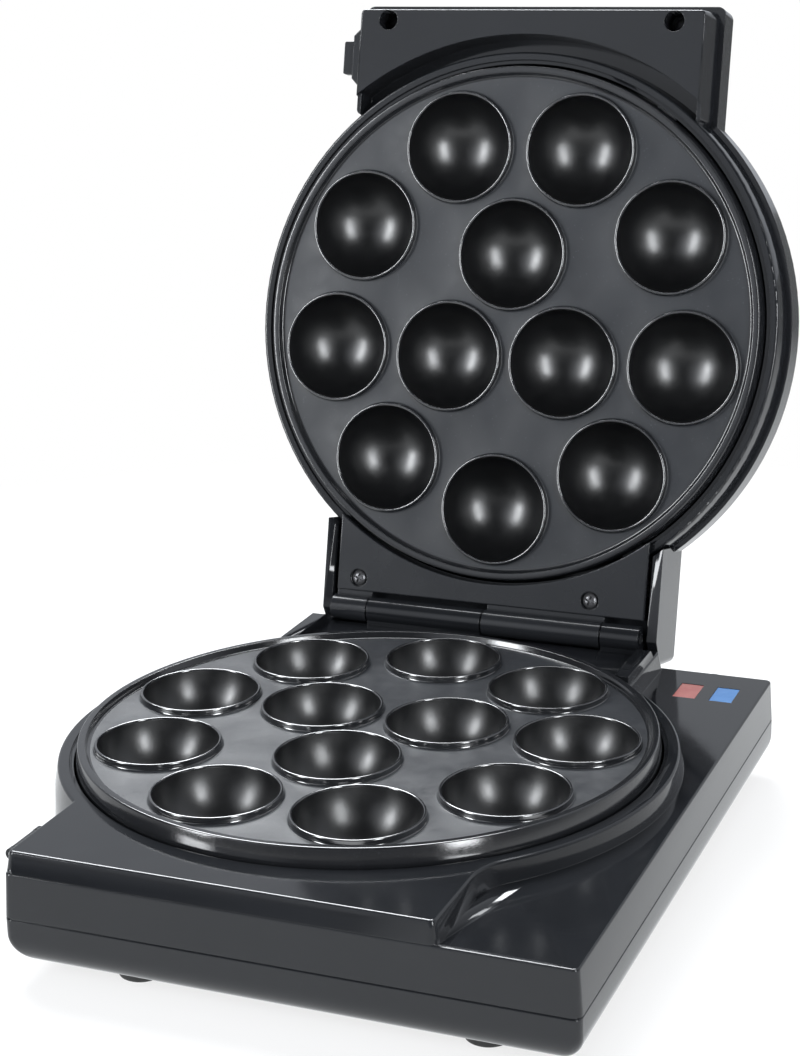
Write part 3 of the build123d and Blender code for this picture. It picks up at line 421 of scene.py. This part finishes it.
# ---------------------------------------------------------------------------------------------
# Cooking plates: two alike die-cast aluminium plates, each with twelve half-ball cups inside raised
# beads, a raised lip and a skirt, under a dark speckled non-stick coat that is slicker in the cups.
# Inside the cups the coat is also painted several times darker, as painted shade.
CUP_STEPS = 96
CUP_RADIUS = 20.0
CUP_WALL = 2.4
BEAD = 2.3
PLATE_UNDER = -5.3
CUP_FOOT = 21.75
CUP_RINGS = [(9, 69.996, 90.0), (3, 26.298, -90.0)]
WEB_RADIUS = 92.4
SKIRT_IN = 94.9


def arc_points(cx, cz, radius, start, end, steps):
    """Points along an arc of an outline, in degrees from the radius axis."""
    angles = [math.radians(start + (end - start) * k / steps) for k in range(steps + 1)]
    return [(cx + radius * math.cos(a), cz + radius * math.sin(a)) for a in angles]


CUP_INSIDE = arc_points(0, 0, CUP_RADIUS, -90, -2, 26)
CUP_BEAD = (arc_points(20.42, -0.42, 0.42, 170, 90, 4) + arc_points(20.55, -0.42, 0.42, 90, 8, 4)
            + arc_points(21.75, -1.6, 0.7, 180, 270, 6))
CUP_UNDER = [(CUP_FOOT, PLATE_UNDER)] + arc_points(0, 0, CUP_RADIUS + CUP_WALL, -13.7, -90, 20)
PLATE_RIM = ([(WEB_RADIUS, -BEAD)] + arc_points(92.6, -1.2, 1.1, -80, -30, 4)
             + arc_points(94.35, -0.45, 0.45, 150, 90, 3) + arc_points(95.9, -0.6, 0.6, 90, 12, 5)
             + [(97.1, -4.6), (97.28, -5.6), (97.28, -8.8), (97.1, -9.0), (94.9, -9.0),
                (94.9, -6.2)] + arc_points(93.9, -6.3, 1.0, 6, 90, 4) + [(WEB_RADIUS, PLATE_UNDER)])


def circles(tree, rings, radius, steps):
    """Circles of one radius at every cup's place."""
    loop = add_node(tree, "GeometryNodeCurvePrimitiveCircle",
                    {"Resolution": steps, "Radius": radius}, mode="RADIUS")
    return add_node(tree, "GeometryNodeInstanceOnPoints",
                    {"Points": rings, "Instance": loop.outputs["Curve"]}).outputs[0]


def cup_tree():
    """Turns the cup's outline, sets it at twelve places on two rings, and fills the web between."""
    tree, given, result = new_tree("cup_pattern", [
        ("Steps", "Int", CUP_STEPS), ("Outer cups", "Int", 9), ("Outer ring", "Float", 0.07),
        ("Inner cups", "Int", 3), ("Inner ring", "Float", 0.026), ("Cup foot", "Float", 0.0217),
        ("Web radius", "Float", 0.0924), ("Web height", "Float", 0.0), ("Rim steps", "Int", 192),
        ("Material", "Material", None)])
    rings = add_node(tree, "GeometryNodeJoinGeometry")
    for label, count, radius, start in (("outer", "Outer cups", "Outer ring", 90.0),
                                        ("inner", "Inner cups", "Inner ring", -90.0)):
        ring = add_node(tree, "GeometryNodeMeshCircle",
                        {"Vertices": given[count], "Radius": given[radius]}, fill_type="NONE")
        spun = add_node(tree, "GeometryNodeTransform", {
            "Geometry": ring.outputs["Mesh"], "Rotation": (0, 0, math.radians(start))})
        spun.label = label
        tree.links.new(spun.outputs[0], rings.inputs[0])
    cup = turning(tree, given["Geometry"], given["Steps"])
    cups = add_node(tree, "GeometryNodeInstanceOnPoints",
                    {"Points": rings.outputs[0], "Instance": cup})
    edge = add_node(tree, "GeometryNodeCurvePrimitiveCircle",
                    {"Resolution": given["Rim steps"], "Radius": given["Web radius"]}, mode="RADIUS")
    lines = add_node(tree, "GeometryNodeJoinGeometry")
    tree.links.new(edge.outputs["Curve"], lines.inputs[0])
    tree.links.new(circles(tree, rings.outputs[0], given["Cup foot"], given["Steps"]),
                   lines.inputs[0])
    loose = add_node(tree, "GeometryNodeRealizeInstances", {"Geometry": lines.outputs[0]})
    web = add_node(tree, "GeometryNodeFillCurve", {"Curve": loose.outputs[0]}, mode="TRIANGLES")
    height = add_node(tree, "ShaderNodeCombineXYZ", {"Z": given["Web height"]})
    level = add_node(tree, "GeometryNodeTransform",
                     {"Geometry": web.outputs["Mesh"], "Translation": height.outputs[0]})
    both = add_node(tree, "GeometryNodeJoinGeometry")
    tree.links.new(cups.outputs[0], both.inputs[0])
    tree.links.new(level.outputs[0], both.inputs[0])
    whole = add_node(tree, "GeometryNodeRealizeInstances", {"Geometry": both.outputs[0]})
    shown = add_node(tree, "GeometryNodeSetMaterial",
                     {"Geometry": whole.outputs[0], "Material": given["Material"]})
    tree.links.new(shown.outputs[0], result["Geometry"])
    return tree


CUPS = cup_tree()
RIM_STEPS = 192


def plate_side(name, outline, web_height, material):
    """The cups and the web of one face of the plate."""
    piece = outline_object(name, outline)
    (many, wide, _), (few, narrow, _) = CUP_RINGS
    return run_tree(piece, CUPS, {
        "Steps": CUP_STEPS, "Outer cups": many, "Outer ring": wide * MM, "Inner cups": few,
        "Inner ring": narrow * MM, "Cup foot": CUP_FOOT * MM, "Web radius": WEB_RADIUS * MM,
        "Web height": web_height * MM, "Rim steps": RIM_STEPS, "Material": material})


def joined(name, parts):
    """Several pieces' meshes as one piece, welded, each with its own material."""
    work = bmesh.new()
    materials = []
    for part in parts:
        offset = len(materials)
        materials += list(part.data.materials)
        first = len(work.faces)
        work.from_mesh(part.data)
        work.faces.ensure_lookup_table()
        for face in work.faces[first:]:
            face.material_index += offset
        bpy.data.objects.remove(part)
    mesh = bpy.data.meshes.new(name)
    work.to_mesh(mesh)
    work.free()
    for material in materials:
        mesh.materials.append(material)
    clean_up(mesh)
    piece = bpy.data.objects.new(name, mesh)
    bpy.context.scene.collection.objects.link(piece)
    return piece


def coat_finish(name, dark, pale, fleck, smooth, rough, sheen, ior=1.5, streaked=False):
    """The non-stick coat: dark, with tiny pale flecks, a satin grain and faint swirl marks."""
    material, tree, shader, where = new_finish(name)
    shader.inputs["IOR"].default_value = ior
    shader.inputs["Specular IOR Level"].default_value = sheen
    flecks = add_node(tree, "ShaderNodeTexVoronoi", {"Vector": where, "Scale": 1 / (1.1 * MM)})
    near = spread(tree, flecks.outputs["Distance"], 1.0, 0.0, 0.05, 0.16)
    patchy = spread(tree, mottle(tree, where, 2.6), 0.0, 1.0, 0.5, 0.62)
    shine = calculate(tree, "MULTIPLY", near, patchy)
    ground = blend_colour(tree, mottle(tree, where, 14), dark, pale)
    coat = add_node(tree, "ShaderNodeMix", data_type="RGBA")
    tree.links.new(shine, coat.inputs["Factor"])
    tree.links.new(ground, coat.inputs["A"])
    coat.inputs["B"].default_value = (*fleck, 1)
    tree.links.new(coat.outputs["Result"], shader.inputs["Base Color"])
    if streaked:
        cloud = mottle(tree, where, 1.4, 4.0, (1, 1, 0.12))
    else:
        cloud = mottle(tree, where, 5, 4.0)
    tree.links.new(spread(tree, cloud, smooth, rough), shader.inputs["Roughness"])
    relief(tree, shader, mottle(tree, where, 0.45, 3.0), 0.012)
    return material


face_coat = coat_finish("nonstick_face", (0.0165, 0.018, 0.0205), (0.022, 0.024, 0.028),
                        (0.11, 0.117, 0.13), 0.36, 0.46, 0.36)
# Painted shade: the cups take the same coat with its ground and flecks about eight times darker than
# on the face.
painted_shade_cup_coat = coat_finish("nonstick_cups_painted_shade", (0.002, 0.0021, 0.0024), (0.0032, 0.0034, 0.004),
                        (0.03, 0.031, 0.034), 0.29, 0.36, 1.0)
bead_coat = coat_finish("nonstick_beads", (0.007, 0.0075, 0.0085), (0.011, 0.0115, 0.013),
                        (0.05, 0.052, 0.058), 0.1, 0.14, 0.9, ior=1.75)
rim_coat = coat_finish("nonstick_rim", (0.007, 0.0075, 0.0085), (0.011, 0.0115, 0.013),
                       (0.05, 0.052, 0.058), 0.1, 0.16, 0.7, ior=1.55, streaked=True)


def inside_cup(point, reach):
    """Whether a point of the plate, in metres, is within reach of a cup's middle."""
    for count, ring, start in CUP_RINGS:
        for k in range(count):
            angle = math.radians(start + 360 * k / count)
            dx = point.x - ring * MM * math.cos(angle)
            dy = point.y - ring * MM * math.sin(angle)
            if dx * dx + dy * dy < reach * reach:
                return True
    return False


def cooking_plate(name):
    """A whole plate facing up, its beads' tops at height 0, with a coat for each kind of area."""
    top = plate_side(name + "_top", CUP_INSIDE + CUP_BEAD, -BEAD, face_coat)
    under = plate_side(name + "_under", CUP_UNDER, PLATE_UNDER, face_coat)
    rim = outline_object(name + "_rim", PLATE_RIM)
    centre = place_points(name + "_centre", [(0, 0, 0)])
    run_tree(rim, outline_tree(name + "_rim_tree", RIM_STEPS),
             {"Steps": RIM_STEPS, "Places": centre, "Material": rim_coat})
    bpy.data.objects.remove(centre)
    plate = joined(name, [top, under, rim])
    mesh = plate.data
    mesh.materials.append(painted_shade_cup_coat)
    mesh.materials.append(bead_coat)
    painted_shade_cup_index = len(mesh.materials) - 2
    for polygon in mesh.polygons:
        middle = polygon.center
        if middle.z < PLATE_UNDER * MM or polygon.material_index == 2:
            continue
        # Faces in the cups take the copy of the coat that is painted darker as shade.
        if inside_cup(middle, 19.98 * MM):
            polygon.material_index = painted_shade_cup_index
        elif inside_cup(middle, 21.2 * MM):
            polygon.material_index = painted_shade_cup_index + 1
    # Upward faces below the plate's underside level also take the coat that is painted darker as
    # shade.
    for polygon in mesh.polygons:
        middle = polygon.center
        if middle.z < PLATE_UNDER * MM and polygon.material_index < 2 and polygon.normal.z > 0:
            polygon.material_index = painted_shade_cup_index
    return plate


RIM_HEIGHT = 47.5
lower_plate = cooking_plate("lower_cooking_plate")
lower_plate.data.transform(MIDDLE @ Matrix.Translation((0, 0, RIM_HEIGHT * MM)))
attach(lower_plate, "base")
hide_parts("lower_plate")

HINGE_Y = 112.996
HINGE_Z = 46.65
LID_HEIGHT = 47.8
OPEN_DEGREES = 103.4


def opened_lid():
    """Carries a piece drawn on the closed lid, from its rim plane, to where it stands open."""
    hinge = Vector((0, HINGE_Y * MM, HINGE_Z * MM))
    swing = Matrix.Rotation(math.radians(-OPEN_DEGREES), 4, "X")
    return (MIDDLE @ Matrix.Translation(hinge) @ swing @ Matrix.Translation(-hinge)
            @ Matrix.Translation((0, 0, LID_HEIGHT * MM)))


upper_plate = cooking_plate("upper_cooking_plate")
upper_plate.data.transform(opened_lid() @ Matrix.Scale(-1, 4, (0, 0, 1)))
upper_plate.data.flip_normals()
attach(upper_plate, "lid")
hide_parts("upper_plate")

# ---------------------------------------------------------------------------------------------
# Inner housing of the lid: the drum round the upper plate, the front block with its concave edge
# and dark groove, two screw wells and the latch's bevelled plate and tongue. Glossy black ABS.
inner_housing = moulding("lid_inner_housing", "lid_inner_housing_moulding")
seat(inner_housing, "lid", "gloss_black", gloss_black, "lid_inner_housing")

# ---------------------------------------------------------------------------------------------
# Back cover of the lid: the domed outer shell with the two long cheeks that reach down past the
# hinge. Glossy black ABS, held by four screws from inside.
outer_cover = moulding("lid_outer_cover", "lid_outer_cover_moulding")
seat(outer_cover, "lid", "gloss_black", gloss_black, "lid_outer_cover")

# ---------------------------------------------------------------------------------------------
# Hinge cover: the panel at the foot of the lid that carries the two end knuckles. Its face is a
# shade less glossy than the shells. Two black screws in round recesses hold it.
satin_black = finish("satin_black_abs", (0.0105, 0.0113, 0.013), (0.015, 0.016, 0.018), 30,
                     0.14, 0.2, 12, 0.9, 0.008, edge_mm=0.35)
hinge_cover = moulding("lid_hinge_cover", "lid_hinge_cover_moulding")
seat(hinge_cover, "lid", "gloss_black", satin_black, "lid_hinge_cover")

dark_steel = finish("blackened_screw_steel", (0.09, 0.09, 0.095), (0.17, 0.17, 0.175), 1.5, 0.25,
                    0.4, 1.0, 0.3, 0.006, metal=0.7)
HINGE_SCREW_PLACES = [(-53.1, 101.2, 1.8), (40.5, 100.8, 1.8)]
cover_screws = screws("lid_hinge_cover_screws", HINGE_SCREW_PLACES, 9.6, dark_steel, 18,
                      place=opened_lid())
seat(cover_screws, "lid", "steel", dark_steel, "lid_hinge_screws")

FRONT_SCREW_PLACES = [(-56.2, -113.3, 13.6), (56.2, -113.3, 13.6)]
front_screws = screws("lid_front_well_screws", FRONT_SCREW_PLACES, 10.9, dark_steel, 40,
                      place=opened_lid())
seat(front_screws, "lid", "steel", dark_steel, "lid_front_screws")

# ---------------------------------------------------------------------------------------------
# Hinge pin: one bright steel rod through all the knuckles, with chamfered ends.
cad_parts["hinge_pin"].data.materials.clear()
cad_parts["hinge_pin"].data.materials.append(steel)

# ---------------------------------------------------------------------------------------------
# Latch clip: a small moulded frame that hangs from a pin on the base's left wall and flips up over
# the lid's tongue.
clip = moulding("latch_clip", "latch_clip_frame")
seat(clip, "clip", "gloss_black", gloss_black, "latch_clip")

# ---------------------------------------------------------------------------------------------
# Pilot lamps: a red power lens and a blue ready lens, clear-tinted acrylic blocks let into the
# control strip, each over its lamp bulb on a small board.


def lens_finish(name, deep, pale):
    """Tinted acrylic with a faint inner cloud and moulded gloss."""
    material, tree, shader, where = new_finish(name)
    cloud = mottle(tree, where, 5)
    tree.links.new(blend_colour(tree, cloud, deep, pale), shader.inputs["Base Color"])
    tree.links.new(spread(tree, mottle(tree, where, 2), 0.12, 0.22), shader.inputs["Roughness"])
    shader.inputs["Transmission Weight"].default_value = 0.15
    shader.inputs["IOR"].default_value = 1.49
    relief(tree, shader, mottle(tree, where, 0.8), 0.01)
    return material


red_glow = lens_finish("red_lens_acrylic", (0.42, 0.1, 0.09), (0.56, 0.2, 0.17))
blue_glow = lens_finish("blue_lens_acrylic", (0.05, 0.2, 0.52), (0.12, 0.32, 0.68))
for colour, glow in (("red", red_glow), ("blue", blue_glow)):
    lens = moulding(colour + "_lamp_lens", colour + "_lamp_window")
    seat(lens, "base", colour + "_lens", glow, colour + "_lamp_lens")

# ---------------------------------------------------------------------------------------------
# Inside the base and the lid: the sheathed heating elements with their straps and reflector pans,
# the thermostat and fuses, the terminal block, the lamp board and the wires that join them.
sheath = finish("element_sheath", (0.2, 0.19, 0.175), (0.3, 0.28, 0.25), 5, 0.35, 0.5, 3, 0.6, 0.01,
                metal=1.0)
aluminised = finish("aluminised_sheet", (0.52, 0.53, 0.54), (0.66, 0.67, 0.68), 12, 0.28, 0.42, 4,
                    0.8, 0.008, metal=1.0, stretch=(1, 0.1, 1))
board_green = finish("lamp_board_laminate", (0.3, 0.2, 0.1), (0.42, 0.29, 0.15), 3, 0.4, 0.6, 2,
                     0.5, 0.01)
phenolic = finish("terminal_phenolic", (0.55, 0.52, 0.45), (0.68, 0.65, 0.57), 6, 0.4, 0.55, 3,
                  0.5, 0.01)
insulation = finish("wire_insulation", (0.45, 0.43, 0.38), (0.6, 0.58, 0.52), 5, 0.5, 0.65, 3,
                    0.5, 0.02)
clear_bulb = finish("bulb_resin", (0.62, 0.64, 0.66), (0.78, 0.8, 0.82), 2, 0.06, 0.14, 1.5, 0.6,
                    0.004)
INNER_FINISHES = {
    sheath: ["lower_heating_element", "upper_heating_element"],
    aluminised: ["lower_reflector_pan", "upper_reflector_pan"],
    steel: ["lower_heater_clamps", "upper_heater_clamps", "lower_clamp_screws",
            "upper_clamp_screws", "lower_plate_screws", "upper_plate_screws",
            "lower_pan_ear_screws", "upper_pan_ear_screws", "lamp_board_screws",
            "terminal_screws", "latch_pin", "thermostat", "lower_thermal_fuse",
            "upper_thermal_fuse"],
    board_green: ["lamp_board"],
    phenolic: ["terminal_block"],
    insulation: ["live_wire", "heater_wire", "neutral_wire"],
    clear_bulb: ["red_lamp_bulb", "blue_lamp_bulb"],
    satin_black: ["cord_gland"],
}
for material, nodes in INNER_FINISHES.items():
    for node in nodes:
        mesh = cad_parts[node].data
        mesh.materials.clear()
        mesh.materials.append(material)

# ---------------------------------------------------------------------------------------------
# Studio: a pale floor, two tall soft boxes in front, one broad one behind, and the camera where the
# photograph was taken from.
floor_mesh = bpy.data.meshes.new("studio_floor")
FLOOR_REACH = 14.0
floor_mesh.from_pydata([(-FLOOR_REACH, -FLOOR_REACH, 0), (FLOOR_REACH, -FLOOR_REACH, 0),
                        (FLOOR_REACH, FLOOR_REACH, 0), (-FLOOR_REACH, FLOOR_REACH, 0)], [],
                       [(0, 1, 2, 3)])
floor = bpy.data.objects.new("studio_floor", floor_mesh)
bpy.context.scene.collection.objects.link(floor)
floor_finish, tree, shader, where = new_finish("studio_floor")
paper = blend_colour(tree, mottle(tree, where, 60), (0.86, 0.86, 0.865), (0.9, 0.9, 0.9))
tree.links.new(paper, shader.inputs["Base Color"])
shader.inputs["Roughness"].default_value = 0.9
shader.inputs["Specular IOR Level"].default_value = 0.1
away = add_node(tree, "ShaderNodeVectorMath", {0: where}, operation="LENGTH").outputs["Value"]
seen = spread(tree, away, 0.76, 1.0, 0.2, 0.5)
mirrored = spread(tree, away, 1.0, 0.22, 0.28, 1.0)
path = add_node(tree, "ShaderNodeLightPath")
directly = path.outputs["Is Camera Ray"]
in_gloss = calculate(tree, "MAXIMUM", path.outputs["Is Glossy Ray"],
                     path.outputs["Is Transmission Ray"])
strength = add_node(tree, "ShaderNodeMix", {0: directly, 2: mirrored, 3: 1.0}, data_type="FLOAT")
tint = blend_colour(tree, directly, (0.955, 0.98, 1.0), (1, 1, 1))
glow = add_node(tree, "ShaderNodeEmission", {"Color": tint, "Strength": strength.outputs[0]})
share = add_node(tree, "ShaderNodeMix", {0: directly, 2: in_gloss, 3: seen}, data_type="FLOAT")
mixed = add_node(tree, "ShaderNodeMixShader",
                 {0: share.outputs[0], 1: shader.outputs[0], 2: glow.outputs[0]})
tree.links.new(mixed.outputs[0], tree.nodes["Material Output"].inputs["Surface"])
floor_mesh.materials.append(floor_finish)

world = bpy.data.worlds.new("studio")
world.use_nodes = True
bpy.context.scene.world = world
tree = world.node_tree
sky = tree.nodes["Background"]
path = add_node(tree, "ShaderNodeLightPath")
direction = add_node(tree, "ShaderNodeTexCoord").outputs["Generated"]
split = add_node(tree, "ShaderNodeSeparateXYZ", {0: direction})
BACK_GLOW = 0.68
AMBIENT = 0.6
front = spread(tree, split.outputs["Z"], 0.24, 0.06, 0.02, 0.3)
behind = spread(tree, split.outputs["Y"], 0.0, 1.0, -0.2, 0.3)
WHITE_WALL = (-0.4, -0.82, 0.4)
toward = add_node(tree, "ShaderNodeVectorMath", {0: direction, 1: WHITE_WALL},
                  operation="DOT_PRODUCT").outputs["Value"]
wall_glow = spread(tree, toward, 0.0, 0.85, 0.9, 0.99)
ahead = calculate(tree, "ADD", front, wall_glow)
around = add_node(tree, "ShaderNodeMix", {0: behind, 2: ahead, 3: BACK_GLOW}, data_type="FLOAT")
in_gloss = calculate(tree, "MAXIMUM", path.outputs["Is Glossy Ray"],
                     path.outputs["Is Transmission Ray"])
indirect = add_node(tree, "ShaderNodeMix", {0: in_gloss, 2: AMBIENT, 3: around.outputs[0]},
                    data_type="FLOAT")
strength = add_node(tree, "ShaderNodeMix", {
    0: path.outputs["Is Camera Ray"], 2: indirect.outputs[0], 3: 1.0}, data_type="FLOAT")
tree.links.new(strength.outputs[0], sky.inputs["Strength"])
tint = blend_colour(tree, path.outputs["Is Camera Ray"], (0.92, 0.96, 1.03), (1, 1, 1))
tree.links.new(tint, sky.inputs["Color"])


def soft_box(name, azimuth, elevation, distance, width, height, power):
    """A soft box seen from the plates at this azimuth from the front and this elevation."""
    lamp = bpy.data.lights.new(name, "AREA")
    lamp.shape = "RECTANGLE"
    lamp.size = width
    lamp.size_y = height
    lamp.energy = power
    lamp.color = (0.95, 0.975, 1.0)
    box = bpy.data.objects.new(name, lamp)
    bpy.context.scene.collection.objects.link(box)
    a, e = math.radians(azimuth), math.radians(elevation)
    aim = Vector((-0.003, -0.04, 0.12))
    offset = Vector((math.sin(a) * math.cos(e), -math.cos(a) * math.cos(e), math.sin(e)))
    box.location = aim + offset * distance
    box.rotation_euler = (-offset).to_track_quat("-Z", "Y").to_euler()
    return box


soft_box("right_soft_box", 56, 16, 2.8, 0.56, 1.9, 60)
soft_box("left_soft_box", -43, 16, 2.8, 0.6, 1.9, 66)
soft_box("back_soft_box", 216, 50, 2.2, 1.5, 1.0, 110)
soft_box("top_soft_box", 180, 72, 2.0, 1.6, 0.3, 16)

CAMERA_PLACE = (0.264575, -0.660433, 0.316681)
CAMERA_TURN = (73.4335, 1.1620, 21.9683)
CAMERA_LENS = 73.98
lens = bpy.data.cameras.new("photo_camera")
lens.lens = CAMERA_LENS
lens.sensor_width = 36.0
lens.clip_start = 0.01
camera = bpy.data.objects.new("photo_camera", lens)
bpy.context.scene.collection.objects.link(camera)
camera.location = CAMERA_PLACE
camera.rotation_euler = tuple(math.radians(a) for a in CAMERA_TURN)
bpy.context.scene.camera = camera
bpy.context.scene.view_settings.view_transform = "Standard"
